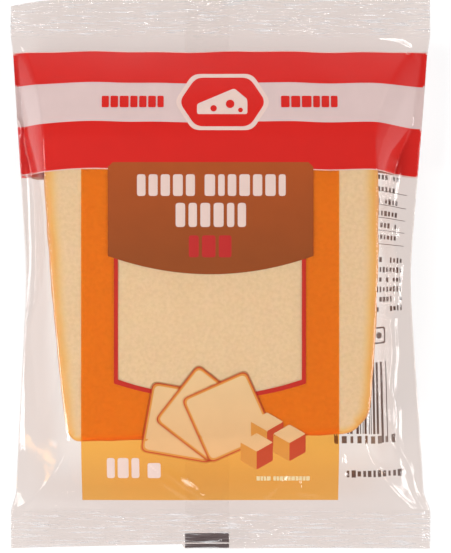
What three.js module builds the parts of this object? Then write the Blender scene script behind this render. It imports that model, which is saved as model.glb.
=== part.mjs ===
// A block of smoked cheese in a clear flow pack, lying on its back.
//
// The pack is one tube of film, flattened and crimped shut across both ends, with a fin seal
// folded flat along its back. The block is a slice off a loaf, so it is a little wider at one
// end than at the other. The film lies flat on the block's two faces, falls away round its four
// sides, and ends in a pinched fold along each side and in a ribbed seal at each end.
//
// The solid is the closed outer form of the sealed pack. Millimetres, +Z up, +Y towards the top
// of the printed front, origin under the middle of the pack at the level it rests on.

import * as THREE from 'three';

// The block, which lies nearer to the pack's lower end
const BLOCK_THICKNESS = 22.6;
const BLOCK_CENTRE = { x: -2.6, y: -3.6 };
const BLOCK_HALF_LENGTH = 44.2;
const BLOCK_END_SLOPE = 0.024; // the lower end is cut out of square by this much
const BLOCK_SIDE = {
  left: { middle: -49.4, taper: 3.6, bulge: 1.1 },
  right: { middle: 45.9, taper: -1.3, bulge: -1.75 },
};

// The tube of film
const PACK_LENGTH = 161;
const PACK_HALF_WIDTH = 61.5; // lying flat, across a seal
const WAIST = { left: 56.9, right: 55.7 }; // half widths where the block draws the film in
const WAIST_LEVEL = -1.8; // how far up the pack the waist lies
const PINCH = { left: 1.2, right: 4.0 }; // the two sheets lie together along each side fold
const SHEET_HALF_GAP = 0.25; // half the thickness of the two sheets where they lie together
const EDGE_RADIUS = 1.5; // the film turns over the block's edges

// The folds spread again from a rounded waist towards the ends, with a last step at each seal
const WAIST_ROUNDING = 0.15; // as a share of the way to the seal
const LAST_STEP = { top: 0.08, bottom: 0.28, length: 6 };

// How the film falls from the block's edge to where the sheets meet: the first power sets how
// soon it leaves the block, and the second how softly it lands
const SIDE_FALL = { leave: 2.2, land: 1.7 };
const END_FALL = { leave: 1.5, land: 1.15 };

// The fin seal along the back, folded over to one side
const FIN = { left: -10.4, right: 2.5, height: 0.4 };
const FIN_EDGE = 0.3; // the width of the steep face at each of its edges

// The crimped seals across the ends
const SEAL_DEPTH = 10.6;
const SEAL_LEVEL = 8.8; // where the film meets the seal, above what the pack rests on
const SEAL_DROOP = 1.3; // from there to the cut end
const SEAL_WAVE = { height: 0.9, length: 74, topPhase: 0.6, bottomPhase: 2.4 };
const RIB_PITCH = 0.9;
const RIB_HEIGHT = 0.3;
const SHORT_CORNER = { reach: 17, depth: 2 }; // the top left corner is cut a little short

// Levels and places that follow from these
const BASE_LEVEL = FIN.height;
const TOP_LEVEL = BASE_LEVEL + BLOCK_THICKNESS;
const MIDDLE_LEVEL = BASE_LEVEL + BLOCK_THICKNESS / 2;
const SEAL_ROOT = PACK_LENGTH / 2 - SEAL_DEPTH;
const RIB_COUNT = Math.round(SEAL_DEPTH / RIB_PITCH);

const { lerp, clamp, smoothstep } = THREE.MathUtils;

const outward = (side) => (side === 'left' ? -1 : 1);

// A side of the block at a place along its length: a taper and a slight bulge
function blockSide(side, y) {
  const along = clamp((BLOCK_CENTRE.y - y) / BLOCK_HALF_LENGTH, -1, 1);
  const { middle, taper, bulge } = BLOCK_SIDE[side];
  return middle + taper * along + bulge * along * along;
}

// An end of the block, +1 the upper and -1 the lower, which is out of square
function blockEnd(end, x) {
  const square = BLOCK_CENTRE.y + end * BLOCK_HALF_LENGTH;
  return end > 0 ? square : square + BLOCK_END_SLOPE * (x - BLOCK_CENTRE.x);
}

// How far out the side fold of the tube lies: drawn in at the waist, full width at the seals
function foldAt(side, y) {
  const isAbove = y > WAIST_LEVEL;
  const fromWaist = Math.abs(y - WAIST_LEVEL);
  const reach = SEAL_ROOT - (isAbove ? WAIST_LEVEL : -WAIST_LEVEL);
  const rounded = (share) => Math.hypot(share, WAIST_ROUNDING) - WAIST_ROUNDING;
  const steady = rounded(Math.min(fromWaist / reach, 1)) / rounded(1);
  const atSeal = smoothstep(fromWaist, reach - LAST_STEP.length, reach);
  const spread = lerp(steady, atSeal, isAbove ? LAST_STEP.top : LAST_STEP.bottom);
  return outward(side) * lerp(WAIST[side], PACK_HALF_WIDTH, spread);
}

// 0 over the block's length, rising to 1 at the root of a seal
function pastBlock(x, y) {
  const end = y < BLOCK_CENTRE.y ? -1 : 1;
  const from = blockEnd(end, x) - end * EDGE_RADIUS;
  return clamp((y - from) / (end * SEAL_ROOT - from), 0, 1);
}

// The edge of the film's flat top: the block's side, then a hip out to the seal's corner
function shoulderAt(side, x, y) {
  const corner = outward(side) * (PACK_HALF_WIDTH - PINCH[side] - EDGE_RADIUS);
  return lerp(blockSide(side, y), corner, pastBlock(x, y));
}

const fall = (share, { leave, land }) => (1 - share ** leave) ** land;

// 1 where the film lies on the block, 0 where the two sheets lie together
function fullness(x, y) {
  const side = x < BLOCK_CENTRE.x ? 'left' : 'right';
  const from = shoulderAt(side, x, y) - outward(side) * EDGE_RADIUS;
  const to = foldAt(side, y) - outward(side) * PINCH[side];
  const across = clamp((x - from) / (to - from), 0, 1);
  return fall(across, SIDE_FALL) * fall(pastBlock(x, y), END_FALL);
}

// The surface half way between the two sheets, with the seals' droop and slow wave
function middleLevel(x, y) {
  const past = pastBlock(x, y);
  const intoSeal = clamp((Math.abs(y) - SEAL_ROOT) / SEAL_DEPTH, 0, 1);
  const phase = y > 0 ? SEAL_WAVE.topPhase : SEAL_WAVE.bottomPhase;
  const wave = SEAL_WAVE.height * Math.sin((2 * Math.PI * x) / SEAL_WAVE.length + phase);
  return lerp(MIDDLE_LEVEL, SEAL_LEVEL, past ** 2) - SEAL_DROOP * intoSeal + wave * past ** 3;
}

// Ribs pressed through both sheets by the crimping jaws
function ribLevel(y) {
  const into = Math.abs(y) - SEAL_ROOT;
  const turns = (into / SEAL_DEPTH) * RIB_COUNT;
  return into > 0 ? (RIB_HEIGHT / 2) * (1 - Math.cos(2 * Math.PI * turns)) : 0;
}

const finRelief = (x) => (x > FIN.left && x < FIN.right ? FIN.height : 0);

// The film's outer face at a place: the front is the printed side, which faces up
function filmLevel(x, y, rib, isFront) {
  const middle = middleLevel(x, y) + rib;
  const full = fullness(x, y);
  return isFront
    ? lerp(middle + SHEET_HALF_GAP, TOP_LEVEL, full)
    : lerp(middle - SHEET_HALF_GAP, BASE_LEVEL, full) - finRelief(x);
}

// Places across the pack at one place along it, with the number of steps from each to the next
const ACROSS_STEPS = [1, 6, 3, 1, 3, 1, 4, 6, 1];
function placesAcross(y) {
  return [
    foldAt('left', y),
    foldAt('left', y) + PINCH.left,
    shoulderAt('left', BLOCK_CENTRE.x, y) + EDGE_RADIUS,
    FIN.left - FIN_EDGE / 2,
    FIN.left + FIN_EDGE / 2,
    FIN.right - FIN_EDGE / 2,
    FIN.right + FIN_EDGE / 2,
    shoulderAt('right', BLOCK_CENTRE.x, y) - EDGE_RADIUS,
    foldAt('right', y) - PINCH.right,
    foldAt('right', y),
  ];
}

// Places along the pack at one place across it, with the steps between them
const ALONG_STEPS = [2 * RIB_COUNT, 9, 2, 4, 2, 8, 2 * RIB_COUNT];
function placesAlong(x) {
  const corner = clamp((SHORT_CORNER.reach - PACK_HALF_WIDTH - x) / SHORT_CORNER.reach, 0, 1);
  return [
    -PACK_LENGTH / 2,
    -SEAL_ROOT,
    blockEnd(-1, x) - 2 * EDGE_RADIUS,
    blockEnd(-1, x) + EDGE_RADIUS,
    blockEnd(1, x) - EDGE_RADIUS,
    blockEnd(1, x) + 2 * EDGE_RADIUS,
    SEAL_ROOT,
    PACK_LENGTH / 2 - SHORT_CORNER.depth * corner ** 2,
  ];
}

// All the places on a run, evenly stepped between the named ones
function stations(places, steps) {
  const between = steps.flatMap((count, zone) =>
    Array.from({ length: count }, (_, step) =>
      lerp(places[zone], places[zone + 1], step / count),
    ),
  );
  return [...between, places.at(-1)];
}

// A flat box of rows and columns, moved out onto the two faces of the pack
function packGeometry() {
  const columns = ACROSS_STEPS.reduce((sum, count) => sum + count);
  const rows = ALONG_STEPS.reduce((sum, count) => sum + count);
  const geometry = new THREE.BoxGeometry(columns, rows, 1, columns, rows, 1);
  const vertices = geometry.getAttribute('position');
  const middleRows = stations(placesAlong(0), ALONG_STEPS);
  for (let index = 0; index < vertices.count; index += 1) {
    const column = Math.round(vertices.getX(index) + columns / 2);
    const row = Math.round(vertices.getY(index) + rows / 2);
    const x = stations(placesAcross(middleRows[row]), ACROSS_STEPS)[column];
    const y = stations(placesAlong(x), ALONG_STEPS)[row];
    const rib = ribLevel(middleRows[row]);
    vertices.setXYZ(index, x, y, filmLevel(x, y, rib, vertices.getZ(index) > 0));
  }
  geometry.computeVertexNormals();
  return geometry;
}

const filmAndCheese = new THREE.MeshStandardMaterial({
  color: 0xe9a04c,
  roughness: 0.25,
  metalness: 0,
});

const sealedPack = new THREE.Mesh(packGeometry(), filmAndCheese);
sealedPack.name = 'sealed_pack';

const cheesePack = new THREE.Group();
cheesePack.add(sealedPack);

export default cheesePack;
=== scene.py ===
"""A block of smoked cheese in a clear, printed flow pack, lying on its back with the front up."""
import math
import random

import bpy
import numpy as np
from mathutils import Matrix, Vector, noise
from mathutils.geometry import delaunay_2d_cdt


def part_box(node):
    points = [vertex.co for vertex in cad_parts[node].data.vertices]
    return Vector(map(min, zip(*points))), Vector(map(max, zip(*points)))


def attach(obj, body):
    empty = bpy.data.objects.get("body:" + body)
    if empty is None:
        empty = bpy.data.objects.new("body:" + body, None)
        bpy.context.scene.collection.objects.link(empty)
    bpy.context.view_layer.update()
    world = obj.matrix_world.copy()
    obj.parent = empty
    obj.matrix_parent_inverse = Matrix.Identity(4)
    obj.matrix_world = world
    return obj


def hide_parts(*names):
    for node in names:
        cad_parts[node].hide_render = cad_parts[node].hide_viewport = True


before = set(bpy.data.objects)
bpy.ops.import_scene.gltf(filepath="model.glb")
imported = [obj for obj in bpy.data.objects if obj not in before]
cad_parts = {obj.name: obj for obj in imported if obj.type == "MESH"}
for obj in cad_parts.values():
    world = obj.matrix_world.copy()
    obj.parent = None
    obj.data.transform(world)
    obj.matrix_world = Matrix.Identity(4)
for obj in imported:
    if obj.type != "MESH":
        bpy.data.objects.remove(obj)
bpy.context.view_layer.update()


# ============================================================
# The block of cheese
# A slice off a long loaf of smoked cheese, sealed up while moist. Its two broad faces are cut
# cheese, pale and close in grain, and round its sides it keeps the loaf's thin smoked skin.
# ============================================================

MM = 0.001  # the sizes below are millimetres, and the meshes are metres

BLOCK_MIDDLE = Vector((-2.6, -3.6))
BLOCK_WIDTH = 95.0
BLOCK_LENGTH = 88.4
BLOCK_END_SLOPE = 0.024  # the lower end is cut out of square by this much
BLOCK_SIDES = {-1: (-49.4, 3.6, 1.1), 1: (45.9, -1.3, -1.75)}  # middle, taper and bulge of each
BLOCK_BED = 0.6
BLOCK_TOP = 22.42
BLOCK_RIM = 1.7  # the sides turn over into the faces by this radius
BLOCK_CORNERS = {(-1, -1): 4.0, (1, -1): 8.8, (-1, 1): 5.0, (1, 1): 6.0}  # radii in plan
SKIN_REACH = {-1: 4.4, 1: 4.2}  # how far in from each side the smoke has coloured the face
SKIN_REACH_ENDS = 2.6
SKIN_ON_SIDES = -0.4  # the smoke's depth on the sides, where 0 is the rim and 1 the bare paste
FACE_STEP = 1.3  # between the mesh's points on a face
RIM_TURN_STEP = 18  # degrees
BESIDE_RIM = [2.3, 3.1, 4.0]  # further places of points in from a side
SIDE_LEVELS = 11
FACE_SWELLS = ((0.10, 15), (0.03, 4))  # the height of each slow or fine swell, and its span
SIDE_RUCKS = ((0.35, 7), (0.12, 2.5))
SIDE_INSET = 0.30  # the sides lie this far in on the whole
RIM_FIRMNESS = 0.6  # the share by which the rims ruck less than the sides


def lerp(low, high, share):
    return low + (high - low) * share


def clamp(value, low=0.0, high=1.0):
    return min(max(value, low), high)


def block_side(side, y):
    middle, taper, bulge = BLOCK_SIDES[side]
    along = clamp((BLOCK_MIDDLE.y - y) / (BLOCK_LENGTH / 2), -1, 1)
    return middle + taper * along + bulge * along * along


def block_end(end, x):
    level = BLOCK_MIDDLE.y + end * BLOCK_LENGTH / 2
    return level if end > 0 else level + BLOCK_END_SLOPE * (x - BLOCK_MIDDLE.x)


def rim_stations(length):
    """Shares of the way across a face, close together where it turns over at both rims."""
    angles = range(0, 91, RIM_TURN_STEP)
    turns = [BLOCK_RIM * (1 - math.cos(math.radians(angle))) for angle in angles]
    near = turns + BESIDE_RIM
    inner = length - 2 * near[-1]
    count = math.ceil(inner / FACE_STEP)
    middle = [near[-1] + inner * step / count for step in range(1, count)]
    places = near + middle + [length - inset for inset in reversed(near)]
    return [place / length for place in places]


def from_rims(across, along):
    """How far a place on a face lies from the nearest side and the nearest end."""
    return min(across, 1 - across) * BLOCK_WIDTH, min(along, 1 - along) * BLOCK_LENGTH


def block_plan(across, along):
    """A place on a face in plan, with how far in from the block's side it lies."""
    rough_x = lerp(BLOCK_SIDES[-1][0], BLOCK_SIDES[1][0], across)
    y = lerp(block_end(-1, rough_x), block_end(1, rough_x), along)
    x = lerp(block_side(-1, y), block_side(1, y), across)
    from_side, from_end = from_rims(across, along)
    outward = Vector((-1 if across < 0.5 else 1, -1 if along < 0.5 else 1))
    radius = BLOCK_CORNERS[int(outward.x), int(outward.y)]
    if from_side < radius and from_end < radius:
        # A square corner's rings become quarter circles
        reach = Vector((radius - from_side, radius - from_end))
        grown = reach * (max(reach) / reach.length)
        x += outward.x * (grown.x - reach.x)
        y += outward.y * (grown.y - reach.y)
    return x, y, min(from_side, from_end)


def rim_drop(inset):
    if inset >= BLOCK_RIM:
        return 0.0
    return BLOCK_RIM - math.sqrt(BLOCK_RIM**2 - (BLOCK_RIM - inset) ** 2)


def unevenness(place, swells):
    return sum(height * noise.noise(place / span) for height, span in swells)


def join_rings(rings):
    """The faces between closed rings of points, each ring and the next."""
    faces = []
    for under, over in zip(rings, rings[1:]):
        for k in range(len(under)):
            after = (k + 1) % len(under)
            faces.append([under[k], under[after], over[after], over[k]])
    return faces


def block_mesh():
    across_stations = rim_stations(BLOCK_WIDTH)
    along_stations = rim_stations(BLOCK_LENGTH)
    columns, rows = len(across_stations), len(along_stations)
    points, smoke, faces = [], [], []

    def add_point(x, y, z, depth):
        points.append((x, y, z))
        smoke.append(depth)
        return len(points) - 1

    def add_face_grid(level, towards):
        grid = []
        for across in across_stations:
            column = []
            for along in along_stations:
                x, y, inset = block_plan(across, along)
                side = -1 if across < 0.5 else 1
                from_side, from_end = from_rims(across, along)
                depth = min(from_side / SKIN_REACH[side], from_end / SKIN_REACH_ENDS)
                column.append(add_point(x, y, level - towards * rim_drop(inset), depth))
            grid.append(column)
        for i in range(columns - 1):
            for j in range(rows - 1):
                quad = [grid[i][j], grid[i + 1][j], grid[i + 1][j + 1], grid[i][j + 1]]
                faces.append(quad if towards > 0 else quad[::-1])
        return grid

    top = add_face_grid(BLOCK_TOP, 1)
    bed = add_face_grid(BLOCK_BED, -1)

    def rim_of(grid):
        lower = [grid[i][0] for i in range(columns)]
        right = [grid[-1][j] for j in range(1, rows)]
        upper = [grid[i][-1] for i in range(columns - 2, -1, -1)]
        left = [grid[0][j] for j in range(rows - 2, 0, -1)]
        return lower + right + upper + left

    top_ring, bed_ring = rim_of(top), rim_of(bed)
    rings = [bed_ring]
    for level in range(1, SIDE_LEVELS):
        share = level / SIDE_LEVELS
        ring = []
        for low, high in zip(bed_ring, top_ring):
            x, y, z = (lerp(a, b, share) for a, b in zip(points[low], points[high]))
            ring.append(add_point(x, y, z, SKIN_ON_SIDES))
        rings.append(ring)
    faces += join_rings([*rings, top_ring])

    # Cheese is never quite flat: slow swells, and finer unevenness down its sides
    settled = []
    for x, y, z in points:
        place = Vector((x, y, z))
        inward = (BLOCK_MIDDLE - Vector((x, y))).normalized()
        edge = clamp(1 - min(z - BLOCK_BED, BLOCK_TOP - z) / BLOCK_RIM)
        ruck = (SIDE_INSET + unevenness(place, SIDE_RUCKS)) * (1 - RIM_FIRMNESS * edge)
        level = z + unevenness(place, FACE_SWELLS)
        settled.append((x + inward.x * ruck, y + inward.y * ruck, level))
    mesh = bpy.data.meshes.new("cheese")
    mesh.from_pydata([Vector(point) * MM for point in settled], [], faces)
    mesh.attributes.new("smoke_depth", "FLOAT", "POINT").data.foreach_set("value", smoke)
    mesh.shade_smooth()
    return mesh


def colour(red, green, blue):
    """A linear colour from the 0 to 255 values that it has on a screen."""
    shares = [value / 255 for value in (red, green, blue)]
    straight = [s / 12.92 if s <= 0.04045 else ((s + 0.055) / 1.055) ** 2.4 for s in shares]
    return (*straight, 1.0)


def plug(tree, source, socket):
    """Gives an input a plain value, or feeds it from a socket or from a node's first output."""
    if isinstance(source, bpy.types.Node):
        source = source.outputs[0]
    if isinstance(source, bpy.types.NodeSocket):
        tree.links.new(source, socket)
    else:
        socket.default_value = source


def node(tree, kind, inputs=(), **settings):
    """A new node with its settings, and with a source for each of the inputs named."""
    made = tree.nodes.new(kind)
    for name, value in settings.items():
        setattr(made, name, value)
    for key, source in dict(inputs).items():
        plug(tree, source, made.inputs[key])
    return made


def maths(tree, operation, *values):
    return node(tree, "ShaderNodeMath", dict(enumerate(values)), operation=operation)


def mapped(tree, value, start, end, top=1.0):
    """A value brought from the range given to 0 to 1, or to 0 to the top given, and held there."""
    inputs = {"Value": value, "From Min": start, "From Max": end, "To Max": top}
    return node(tree, "ShaderNodeMapRange", inputs)


def patterned(tree, place, detail=2.0, scale=1.0, stretch=None):
    """A cloudy pattern over the piece, drawn out by a scale for each way if that is given."""
    if stretch is not None:
        place = node(tree, "ShaderNodeMapping", {"Vector": place, "Scale": stretch})
    return node(tree, "ShaderNodeTexNoise", {"Vector": place, "Scale": scale, "Detail": detail})


def bump(tree, height, strength, distance, **under):
    inputs = {"Height": height, "Strength": strength, "Distance": distance, **under}
    return node(tree, "ShaderNodeBump", inputs)


def start_material(name):
    material = bpy.data.materials.new(name)
    material.use_nodes = True
    material.node_tree.nodes.clear()
    return material, material.node_tree


def finish_material(tree, shader):
    node(tree, "ShaderNodeOutputMaterial", {"Surface": shader})


def ramp(tree, share, stops):
    made = node(tree, "ShaderNodeValToRGB", {"Fac": share})
    band = made.color_ramp
    while len(band.elements) < len(stops):
        band.elements.new(0.5)
    for element, (place, tone) in zip(band.elements, stops):
        element.position = place
        element.color = tone
    return made


def blend_colours(tree, share, first, second, how="MIX"):
    made = node(tree, "ShaderNodeMix", {0: share, 6: first, 7: second}, data_type="RGBA")
    made.blend_type = how
    return made.outputs[2]


def cheese_material():
    material, tree = start_material("smoked_cheese")
    place = node(tree, "ShaderNodeTexCoord").outputs["Object"]
    patches = patterned(tree, place, 4.0, 70.0)
    grain = patterned(tree, place, 5.0, 900.0)
    streaks = patterned(tree, place, stretch=(330.0, 28.0, 90.0))

    paste = blend_colours(tree, patches, colour(251, 222, 180), colour(243, 208, 160))
    paste = blend_colours(tree, streaks, paste, colour(244, 211, 165))
    fine = ramp(tree, grain, [(0.34, (0.92, 0.905, 0.88, 1)), (0.62, (1, 1, 1, 1))])
    paste = blend_colours(tree, 0.8, paste, fine, "MULTIPLY")

    depth = node(tree, "ShaderNodeAttribute", attribute_name="smoke_depth").outputs["Fac"]
    smoked = maths(tree, "ADD", depth, maths(tree, "MULTIPLY_ADD", patches, 0.5, -0.25))
    smoke_tones = [
        (0.0, colour(222, 148, 70)), (0.18, colour(240, 172, 84)),
        (0.5, colour(247, 192, 104)), (1.0, colour(241, 206, 140)),
    ]
    skin = ramp(tree, smoked, smoke_tones)
    tone = blend_colours(tree, mapped(tree, smoked, 0.35, 1.1), skin, paste)

    pits = node(tree, "ShaderNodeTexVoronoi", {"Vector": place, "Scale": 260.0})
    pit = ramp(tree, pits.outputs["Distance"], [(0.0, (0, 0, 0, 1)), (0.16, (1, 1, 1, 1))])
    rough = bump(tree, grain, 0.25, 0.0003)
    look = {
        "Base Color": tone,
        "Roughness": 0.42,
        "Specular IOR Level": 0.4,
        "Subsurface Weight": 0.25,
        "Subsurface Radius": (0.0035, 0.0020, 0.0009),
        "Subsurface Scale": 1.0,
        "Normal": bump(tree, pit, 0.2, 0.0002, Normal=rough),
    }
    finish_material(tree, node(tree, "ShaderNodeBsdfPrincipled", look))
    return material


def fit(piece):
    """Ties a finished piece to the pack: it rides on it and stands for its solid."""
    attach(piece, "root")
    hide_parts("sealed_pack")


def place_in_scene(name, mesh, material=None):
    thing = bpy.data.objects.new(name, mesh)
    bpy.context.scene.collection.objects.link(thing)
    if material is not None:
        mesh.materials.clear()
        mesh.materials.append(material)
    return thing


fit(place_in_scene("cheese_block", block_mesh(), cheese_material()))


# ============================================================
# The film
# One tube of clear film, wrapped round the block from a web 246 mm wide and sealed across both
# ends by hot ribbed jaws. It lies tight on the block's faces, and its sides pinch flat in a fold.
# ============================================================

pack_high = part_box("sealed_pack")[1] / MM
FLAT_HALF = pack_high.x  # half the width of the tube lying flat
HALF_LENGTH = pack_high.y
GIRTH = 4 * FLAT_HALF

FILM_BED = 0.4  # the fold of the fin seal lies under this
FILM_TOP = 22.78
MIDDLE_LEVEL = 11.7
SEAL_DEPTH = 10.6
SEAL_ROOT = HALF_LENGTH - SEAL_DEPTH
SEAL_LEVEL = 8.8
SEAL_DROOP = 1.3
SEAL_WAVE = 0.9
SEAL_WAVE_LENGTH = 74
SEAL_WAVE_PHASE = {1: 0.6, -1: 2.4}  # at the upper and the lower end
RIB_PITCH = 0.9
RIB_HEIGHT = 0.3
SHEETS_APART = 0.13  # half the gap between the two sheets where they lie together
FOLD_ROUND = 0.8  # they close on each other over this width at a fold
FOLD_CALM = 3  # and are smoother this near to it
FULL_SPREAD = 1.6  # how full a place is counts this many times over where looseness is eased
EDGE_RADIUS = 1.5
WAIST = {-1: 56.9, 1: 55.7}  # half widths where the block draws the tube in
WAIST_LEVEL = -1.8
WAIST_ROUNDING = 0.15
LAST_STEP = {1: 0.08, -1: 0.28}
LAST_STEP_LENGTH = 6
FILM_SETBACK = 0.7  # the film leaves a face this far in from the block's side
SIDE_FALL = (1.2, 1.35)  # how soon the film leaves the block, and how softly it lands
PUFFED_FALL = (1.4, 1.05)  # the same where air puffs out the tube above the block's shoulders
PUFFED_FROM = 21.0
PUFFED_OVER = 6.5
END_FALL = (1.35, 1.15)
HIP_BOW = 1.6  # how far the hip from a corner of the block to a corner of the seal bows inward
EDGE_DROOP = {-1: 1.3, 1: 2.4}  # how far each fold is drawn along towards the waist
DROOP_FROM = 44
HELD_HALF = 42.0  # the block holds the film in its place this far from the middle
SHORT_CORNER_REACH = 17
SHORT_CORNER_DEPTH = 2
CUT_STEP = -11.0  # left of here the lower cut runs off
CUT_RISE = 1.3  # by this much at the corner
HEADROOM = 0.05  # between the highest crease and the top of the pack

# How far in from each fold the two sheets part, at places along the pack
LEFT_PINCH = [
    (-70, 0.15), (-20, 0.12), (-7, 2.2), (10, 2.9), (26, 3.3), (42, 1.8), (70, 0.8),
]
RIGHT_PINCH = [
    (-70, 2.0), (-59, 4.0), (-48, 7.0), (-40, 6.6), (-33, 7.5), (-22, 6.1), (-15, 6.2),
    (-7, 4.6), (2, 4.0), (12, 5.8), (22, 7.2), (30, 6.6), (46, 2.4), (70, 1.2),
]
WELT_HEIGHT = 0.56  # the welt in the front sheet where the two sheets part
WELT_HALF_WIDTH = 1.3
WELT_NEEDS = 2.4  # it is lower where the sheets part nearer to the fold than this
WELT_TOP = 33.0  # it runs out at this level, below the bands
WELT_RUN_OUT = 5

# Unevenness of the film, as (height, span) of each swell
TIGHT_SWELLS = ((0.05, 11), (0.02, 3.5))  # where it lies on the block
LOOSE_SWELLS = ((0.42, 14), (0.05, 3))  # on the slopes round it
LONG_FOLD = 0.3
SEAL_HOLD = 0.55  # the share of it that the seals take out
SEAL_RUCK = 0.2
SEAL_SPOT = 0.1


def smooth(share):
    share = clamp(share)
    return share * share * (3 - 2 * share)


def along_list(places, y):
    """A value from a short list of (place, value), eased from each to the next."""
    if y <= places[0][0]:
        return places[0][1]
    for (start, low), (end, high) in zip(places, places[1:]):
        if y <= end:
            return lerp(low, high, smooth((y - start) / (end - start)))
    return places[-1][1]


def fold_at(side, v):
    """How far out the tube's fold lies: drawn in at the waist, full width at the seals."""
    end = 1 if v > WAIST_LEVEL else -1
    from_waist = abs(v - WAIST_LEVEL)
    reach = SEAL_ROOT - end * WAIST_LEVEL
    share = min(from_waist / reach, 1)
    steady = math.hypot(share, WAIST_ROUNDING) - WAIST_ROUNDING
    steady /= math.hypot(1, WAIST_ROUNDING) - WAIST_ROUNDING
    at_seal = smooth((from_waist - reach + LAST_STEP_LENGTH) / LAST_STEP_LENGTH)
    return lerp(WAIST[side], FLAT_HALF, lerp(steady, at_seal, LAST_STEP[end]))


def pinch_at(side, v):
    return along_list(LEFT_PINCH if side < 0 else RIGHT_PINCH, v)


def past_block(x, y):
    """0 over the block's length, rising to 1 at the root of a seal."""
    end = -1 if y < BLOCK_MIDDLE.y else 1
    start = block_end(end, x) - end * FILM_SETBACK
    return clamp((y - start) / (end * SEAL_ROOT - start))


def fall(share, shape):
    leave, land = shape
    return (1 - share**leave) ** land


def side_fall(v):
    puffed = smooth((v - PUFFED_FROM) / PUFFED_OVER)
    return [lerp(low, high, puffed) for low, high in zip(SIDE_FALL, PUFFED_FALL)]


def fullness(x, y, past):
    """1 where the film lies on the block, 0 where the two sheets lie together."""
    side = -1 if x < BLOCK_MIDDLE.x else 1
    pinch = pinch_at(side, y)
    corner = FLAT_HALF - pinch - EDGE_RADIUS
    shoulder = lerp(side * block_side(side, y), corner, past**HIP_BOW) - FILM_SETBACK
    landing = fold_at(side, y) - pinch
    across = clamp((side * x - shoulder) / (landing - shoulder))
    return fall(across, side_fall(y)) * fall(past, END_FALL)


def web_x(u, v):
    """Where a place across the flat tube lies once the block has drawn the tube in."""
    side = -1 if u < 0 else 1
    if abs(u) <= HELD_HALF:
        return u
    share = (abs(u) - HELD_HALF) / (FLAT_HALF - HELD_HALF)
    return side * lerp(HELD_HALF, fold_at(side, v), share)


def web_droop(u, v):
    """How far the tube's edges are drawn towards the waist."""
    end = 1 if v > WAIST_LEVEL else -1
    share = clamp((SEAL_ROOT - abs(v)) / (SEAL_ROOT - end * WAIST_LEVEL))
    outward = smooth((abs(u) - DROOP_FROM) / (FLAT_HALF - DROOP_FROM))
    return end * EDGE_DROOP[-1 if u < 0 else 1] * outward * math.sin(math.pi * share)


# Creases in the front sheet: places that each runs through, its height and its half width
CREASES = [
    ([(-16.5, -57.0), (-11.0, -61.0), (-4.5, -65.5)], 1.0, 2.0),
    ([(-18.0, -59.5), (-12.0, -63.5), (-7.0, -66.5)], 0.8, 1.7),
    ([(1.3, -56.5), (1.8, -61.0), (1.5, -65.5)], 0.27, 1.5),
    ([(12.5, -65.5), (17.0, -61.0), (20.8, -56.0)], 0.37, 1.5),
    ([(20.8, -56.0), (22.5, -60.0), (23.0, -63.5), (31.5, -64.5)], 0.27, 1.5),
    ([(-24.0, -52.0), (-21.0, -55.5), (-17.0, -58.5)], 0.26, 1.3),
    ([(41.5, 30.5), (37.5, 27.0), (33.0, 23.5)], 0.16, 1.6),
    ([(36.0, -48.5), (34.6, -53.0), (36.0, -59.5)], 0.32, 1.9),
    ([(47.5, -42.0), (50.0, -46.0), (52.0, -50.5), (53.5, -56.0)], 0.8, 1.5),
    ([(-60.0, 46.5), (-58.5, 44.0), (-57.8, 40.5)], 0.8, 1.3),
    ([(-52.3, 26.0), (-51.3, 17.0), (-50.4, 5.0), (-49.6, -5.0), (-48.6, -17.0)], 0.42, 0.9),
    ([(45.0, 69.0), (52.0, 67.5), (57.0, 64.0)], 0.4, 1.2),
    ([(52.0, 68.0), (55.5, 66.0), (58.0, 61.5)], 0.4, 1.0),
]
CREASE_SHARPNESS = 1.4


def crease_lift(x, y):
    """How far the creases lift the film at a place, each fading out at its two ends."""
    lift = 0.0
    for places, height, half_width in CREASES:
        nearest, share_there = 1e9, 0.0
        steps = len(places) - 1
        for step, ((ax, ay), (bx, by)) in enumerate(zip(places, places[1:])):
            if min(ax, bx) - half_width > x or max(ax, bx) + half_width < x:
                continue
            if min(ay, by) - half_width > y or max(ay, by) + half_width < y:
                continue
            span = (bx - ax) ** 2 + (by - ay) ** 2
            share = clamp(((x - ax) * (bx - ax) + (y - ay) * (by - ay)) / span)
            distance = math.hypot(x - lerp(ax, bx, share), y - lerp(ay, by, share))
            if distance < nearest:
                nearest, share_there = distance, (step + share) / steps
        if nearest < half_width:
            profile = (1 - nearest / half_width) ** CREASE_SHARPNESS
            lift += height * profile * math.sin(math.pi * share_there) ** 0.5
    return lift


def welt(x, y):
    """The height of the rounded ridge along each side, just outside where the sheets part."""
    side = -1 if x < 0 else 1
    pinch = pinch_at(side, y)
    away = abs(side * x - fold_at(side, y) + pinch - WELT_HALF_WIDTH / 2)
    if away > WELT_HALF_WIDTH:
        return 0.0
    height = WELT_HEIGHT * smooth(pinch / WELT_NEEDS) * smooth((WELT_TOP - y) / WELT_RUN_OUT)
    return height * 0.5 * (1 + math.cos(math.pi * away / WELT_HALF_WIDTH))


def ruffle(x, y, past, full, front):
    """The small unevenness of a sheet: tight on the block, loose on the slopes round it."""
    sheet = 3.0 if front else 47.0
    place = Vector((x, y, sheet))
    loose = 1 - full**6
    folds = LONG_FOLD * abs(noise.noise(Vector((x / 6, y / 24, sheet)))) * smooth(past * 3)
    near_seal = 1 - SEAL_HOLD * smooth((past - 0.75) / 0.25)
    slack = loose * near_seal * (unevenness(place, LOOSE_SWELLS) + folds)
    return unevenness(place, TIGHT_SWELLS) + slack


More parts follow.
